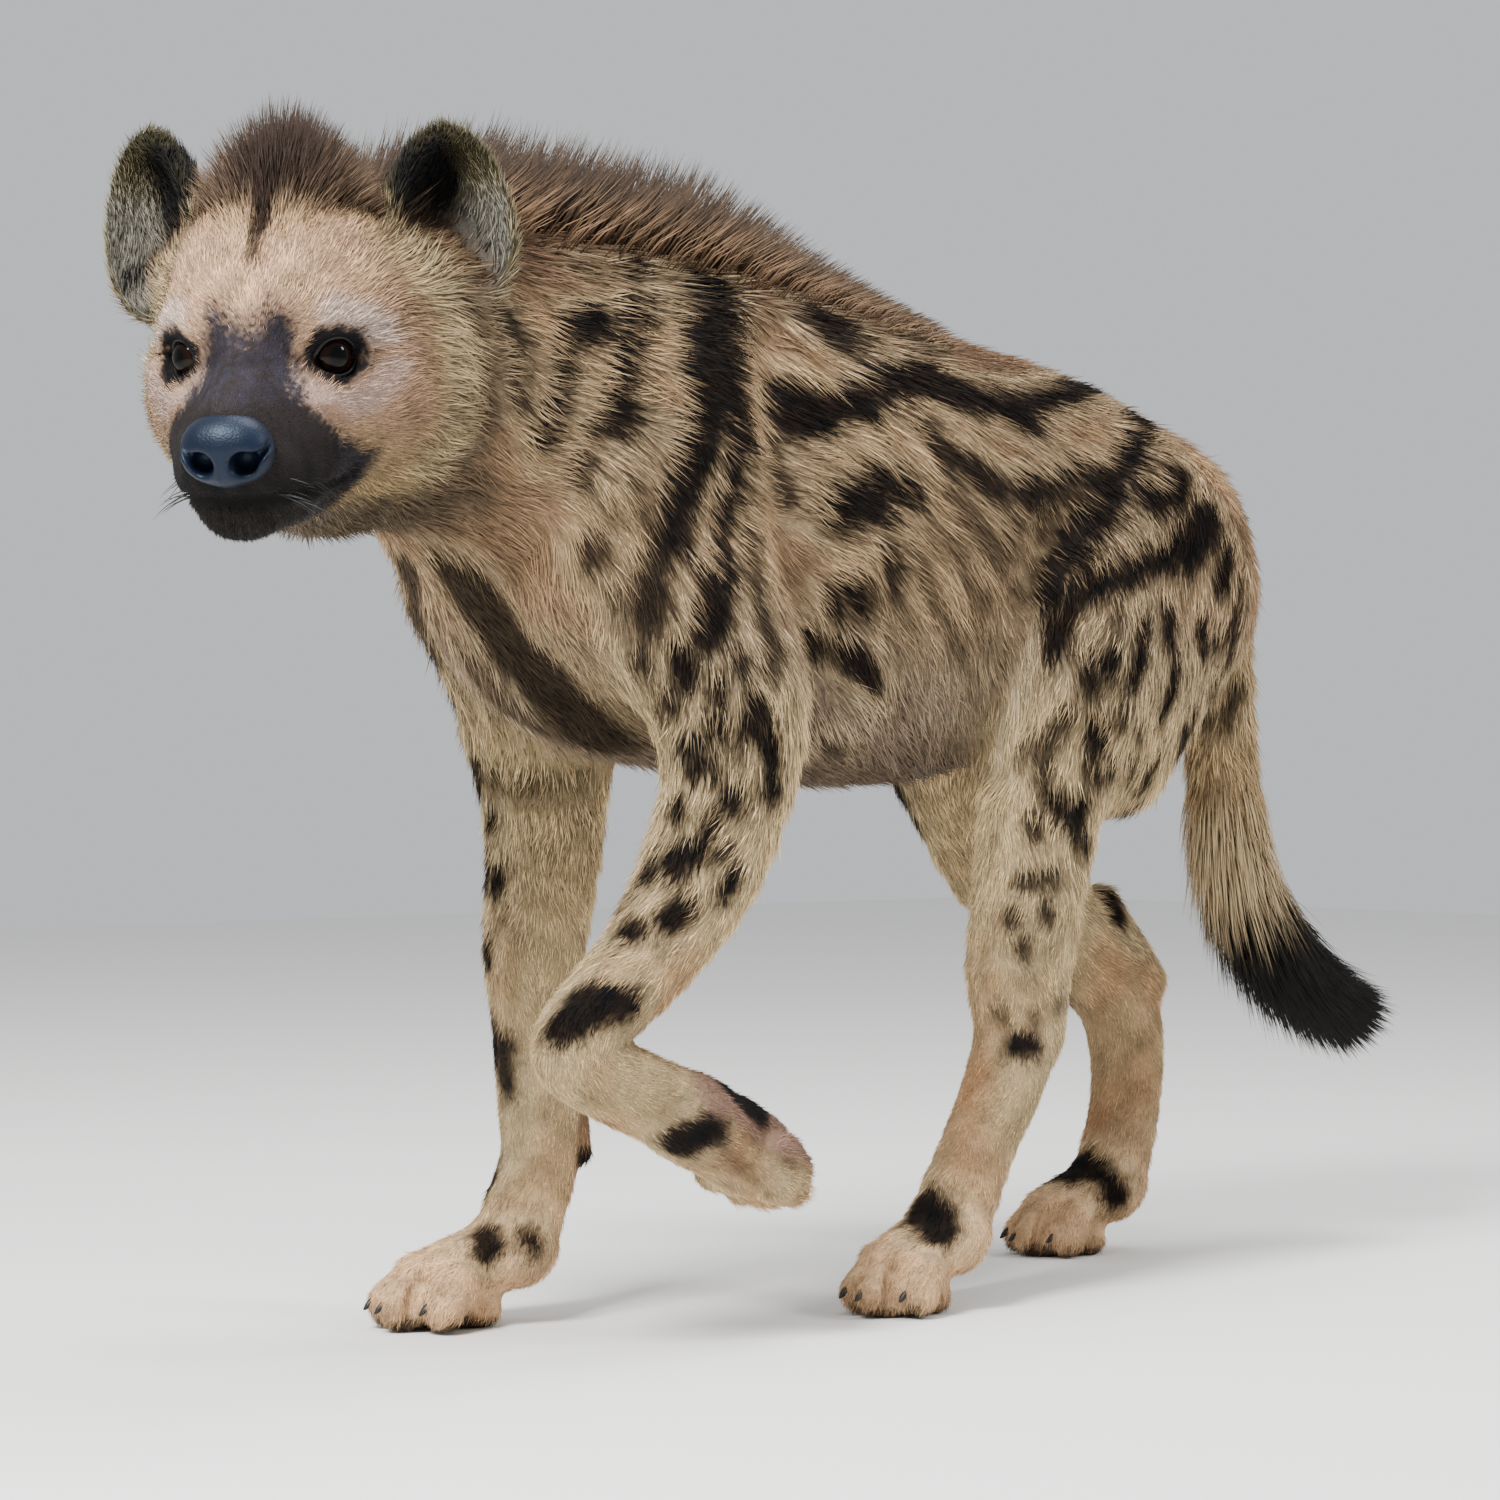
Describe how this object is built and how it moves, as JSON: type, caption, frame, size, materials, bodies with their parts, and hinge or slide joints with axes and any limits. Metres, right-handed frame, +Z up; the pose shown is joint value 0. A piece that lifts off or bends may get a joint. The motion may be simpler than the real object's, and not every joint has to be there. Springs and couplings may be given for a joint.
{
  "type": "spotted hyena",
  "caption": "Life-size still model of a spotted hyena walking with one foreleg lifted, its head turned to its left and its mane raised.",
  "frame": {"origin": "on the floor under the middle of the bounding box", "axes": "+X to the animal's left, +Y to its tail, +Z up; it faces -Y"},
  "size_m": [0.3694, 1.2998, 0.8776],
  "materials": {
    "coat": "short dense fur, sandy grey with brown-black spots",
    "pale_fur": "very short cream fur",
    "dark_fur": "very short dark fur",
    "ear_fur": "thin short fur, dark inside the cup",
    "brush_hair": "long coarse dark hair",
    "nose_leather": "moist, pebbled, softly glossy",
    "eye": "wet gloss",
    "claw": "smooth dark horn"
  },
  "bodies": {
    "root": {"ear_left": "ear_fur", "ear_right": "ear_fur", "eye_left": "eye", "eye_right": "eye", "nose": "nose_leather", "head": "coat", "lower_jaw": "dark_fur", "neck": "coat", "torso": "coat", "hindquarters": "coat", "tail": "coat", "tail_brush": "brush_hair", "foreleg_right": "coat", "forefoot_right": "pale_fur", "claw_fore_right_1": "claw", "claw_fore_right_2": "claw", "claw_fore_right_3": "claw", "claw_fore_right_4": "claw", "foreleg_left": "coat", "forefoot_left": "pale_fur", "claw_fore_left_1": "claw", "claw_fore_left_2": "claw", "claw_fore_left_3": "claw", "claw_fore_left_4": "claw", "thigh_left": "coat", "shank_left": "coat", "hindfoot_left": "pale_fur", "claw_hind_left_1": "claw", "claw_hind_left_2": "claw", "claw_hind_left_3": "claw", "claw_hind_left_4": "claw", "thigh_right": "coat", "shank_right": "coat", "hindfoot_right": "pale_fur", "claw_hind_right_1": "claw", "claw_hind_right_2": "claw", "claw_hind_right_3": "claw", "claw_hind_right_4": "claw"}
  },
  "joints": []
}
